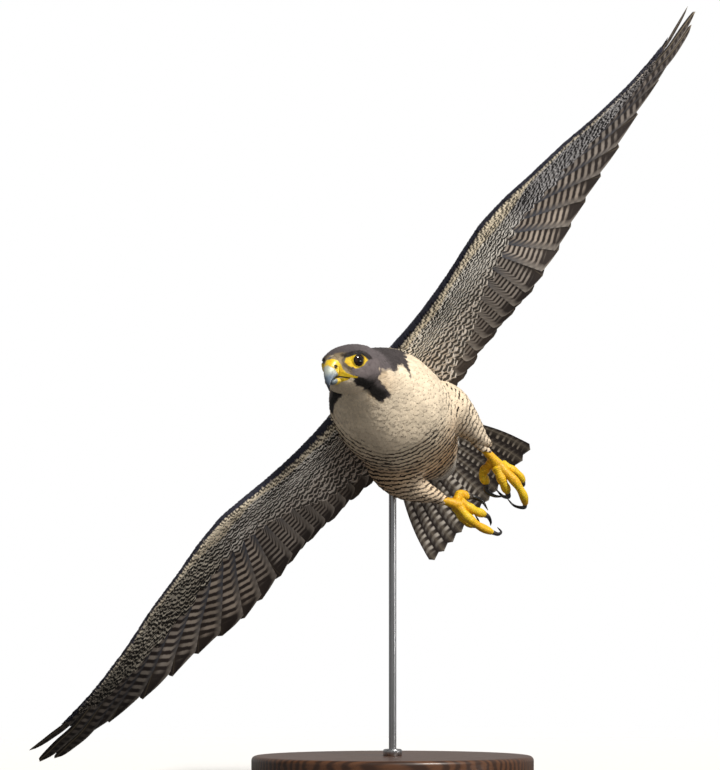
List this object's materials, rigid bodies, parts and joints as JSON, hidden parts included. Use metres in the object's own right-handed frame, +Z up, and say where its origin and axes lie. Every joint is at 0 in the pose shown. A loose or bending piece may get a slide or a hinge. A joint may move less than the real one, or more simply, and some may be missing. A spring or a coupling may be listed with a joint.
{
  "type": "peregrine falcon model",
  "caption": "Life-size still model of a peregrine falcon in banked flight, wings spread, head turned and feet half closed, on a round wooden base with an upright steel rod.",
  "frame": {"origin": "centre of the base's underside", "axes": "+Z up, -Y the way the bird flies, +X toward its raised left wing"},
  "size_m": [0.7075, 0.3983, 0.8249],
  "materials": {
    "breast_feathers": "soft cream feathers with dark bars",
    "head_feathers": "short slate feathers",
    "wing_feathers": "barred grey-brown flight feathers",
    "tail_feathers": "barred dark tail feathers",
    "bill": "blue-grey horn with a yellow cere",
    "eyes": "dark brown, wet gloss",
    "foot_skin": "yellow scaled skin",
    "claws": "black horn",
    "stand_wood": "dark stained, satin",
    "stand_steel": "satin"
  },
  "bodies": {
    "root": {"neck": "breast_feathers", "head": "head_feathers", "bill_upper": "bill", "bill_lower": "bill", "eye_left": "eyes", "eye_right": "eyes", "trunk": "breast_feathers", "wing_left_arm": "wing_feathers", "wing_left_hand": "wing_feathers", "thigh_left": "breast_feathers", "claw_left_middle": "claws", "claw_left_inner": "claws", "claw_left_outer": "claws", "claw_left_hind": "claws", "foot_left": "foot_skin", "wing_right_arm": "wing_feathers", "wing_right_hand": "wing_feathers", "thigh_right": "breast_feathers", "claw_right_middle": "claws", "claw_right_inner": "claws", "claw_right_outer": "claws", "claw_right_hind": "claws", "foot_right": "foot_skin", "tail": "tail_feathers", "stand_base": "stand_wood", "stand_rod": "stand_steel", "stand_collar": "stand_steel"}
  },
  "joints": []
}
